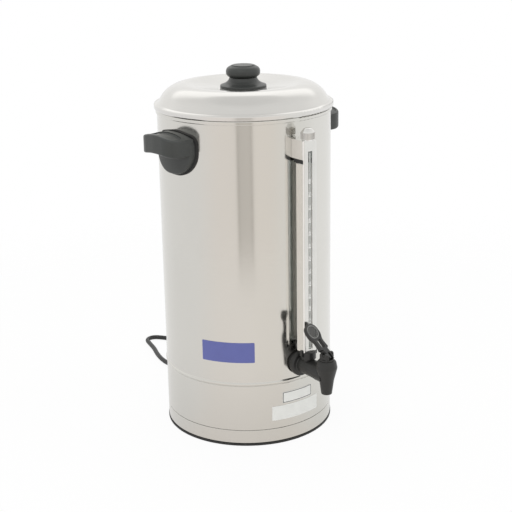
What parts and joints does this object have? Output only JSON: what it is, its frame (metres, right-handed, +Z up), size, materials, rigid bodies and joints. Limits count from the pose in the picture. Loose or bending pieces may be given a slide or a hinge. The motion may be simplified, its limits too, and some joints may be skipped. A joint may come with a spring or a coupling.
{
  "type": "electric coffee urn",
  "caption": "Stainless steel percolator urn with a domed lid, hooded side handles, a slotted sight gauge and a self-closing lever tap at the foot.",
  "frame": {"origin": "on the tank's axis, in the plane that the urn stands on", "axes": "+Z up along the tank's axis, -Y towards the tap, +Y towards the cord's gland"},
  "size_m": [0.3565, 0.6014, 0.4937],
  "materials": {
    "steel_brushed": "satin",
    "steel_polished": "polished",
    "steel_plain": "plain",
    "zinc_screw": "zinc plated",
    "plate_aluminium": "cast",
    "handle_black": "fine grain",
    "tap_black": "fine grain",
    "ceramic_block": "glazed",
    "rubber_black": "matt",
    "silicone": "matt",
    "gauge_glass": "clear",
    "pin_brass": "plain"
  },
  "bodies": {
    "urn": {"tank_wall": "steel_brushed", "tank_bottom": "steel_plain", "base_shell": "steel_brushed", "base_ring": "steel_brushed", "foot_trim": "rubber_black", "bottom_cover": "steel_plain", "cover_screws": "zinc_screw", "heater_plate": "plate_aluminium", "main_element": "steel_plain", "keep_warm_element": "steel_plain", "heater_strap": "steel_plain", "heater_stud": "zinc_screw", "heater_nut": "zinc_screw", "boil_thermostat": "ceramic_block", "cutout_thermostat": "ceramic_block", "terminal_block": "ceramic_block", "handle_gasket_left": "rubber_black", "handle_gasket_right": "rubber_black", "handle_left": "handle_black", "handle_right": "handle_black", "handle_screws": "zinc_screw", "gauge_bracket": "steel_polished", "bracket_nut": "zinc_screw", "gauge_collar": "rubber_black", "gauge_cap": "steel_polished", "gauge_tube": "gauge_glass", "gauge_channel": "steel_polished", "gauge_nut": "tap_black", "gauge_seal": "silicone", "tap_arm": "tap_black", "tap_gasket_outer": "silicone", "tap_gasket_inner": "silicone", "tap_nut": "tap_black", "valve_body": "tap_black", "bonnet": "tap_black", "valve_spring": "steel_plain", "cord_gland": "rubber_black", "cord_lead": "rubber_black", "cord_coil": "rubber_black", "cord_tail": "rubber_black", "plug_body": "rubber_black", "plug_pins": "pin_brass"},
    "lid": {"lid_dome": "steel_polished", "lid_ring": "steel_plain", "knob_skirt": "handle_black", "knob_head": "handle_black", "knob_screw": "zinc_screw", "knob_washer": "zinc_screw"},
    "stem": {"valve_stem": "tap_black", "seat_cup": "silicone"},
    "lever": {"lever": "tap_black", "lever_pin": "tap_black"},
    "percolator": {"pump_foot": "plate_aluminium", "pump_tube": "plate_aluminium", "brew_basket": "plate_aluminium"},
    "spreader": {"basket_spreader": "plate_aluminium"}
  },
  "joints": [
    {"name": "lid_lift", "type": "slide", "parent": "urn", "child": "lid", "axis": [0, 0, 1], "range_m": [0, 0.12]},
    {"name": "stem_lift", "type": "slide", "parent": "urn", "child": "stem", "axis": [0, 0, 1], "range_m": [0, 0.0025], "deforming": ["valve_spring"]},
    {"name": "lever_tilt", "type": "hinge", "parent": "stem", "child": "lever", "pos_m": [0, -0.173, 0.1411], "axis": [0.9397, 0.342, 0], "range_deg": [0, 60], "stiffness_Nm_per_rad": 0.03, "springref_deg": -28.65},
    {"name": "percolator_lift", "type": "slide", "parent": "urn", "child": "percolator", "axis": [0, 0, 1], "range_m": [0, 0.015]},
    {"name": "spreader_lift", "type": "slide", "parent": "percolator", "child": "spreader", "axis": [0, 0, 1], "range_m": [0, 0.03]}
  ],
  "couplings": [
    {"joint": "lever_tilt", "follows": "stem_lift", "rad_per_m": 418.88}
  ]
}
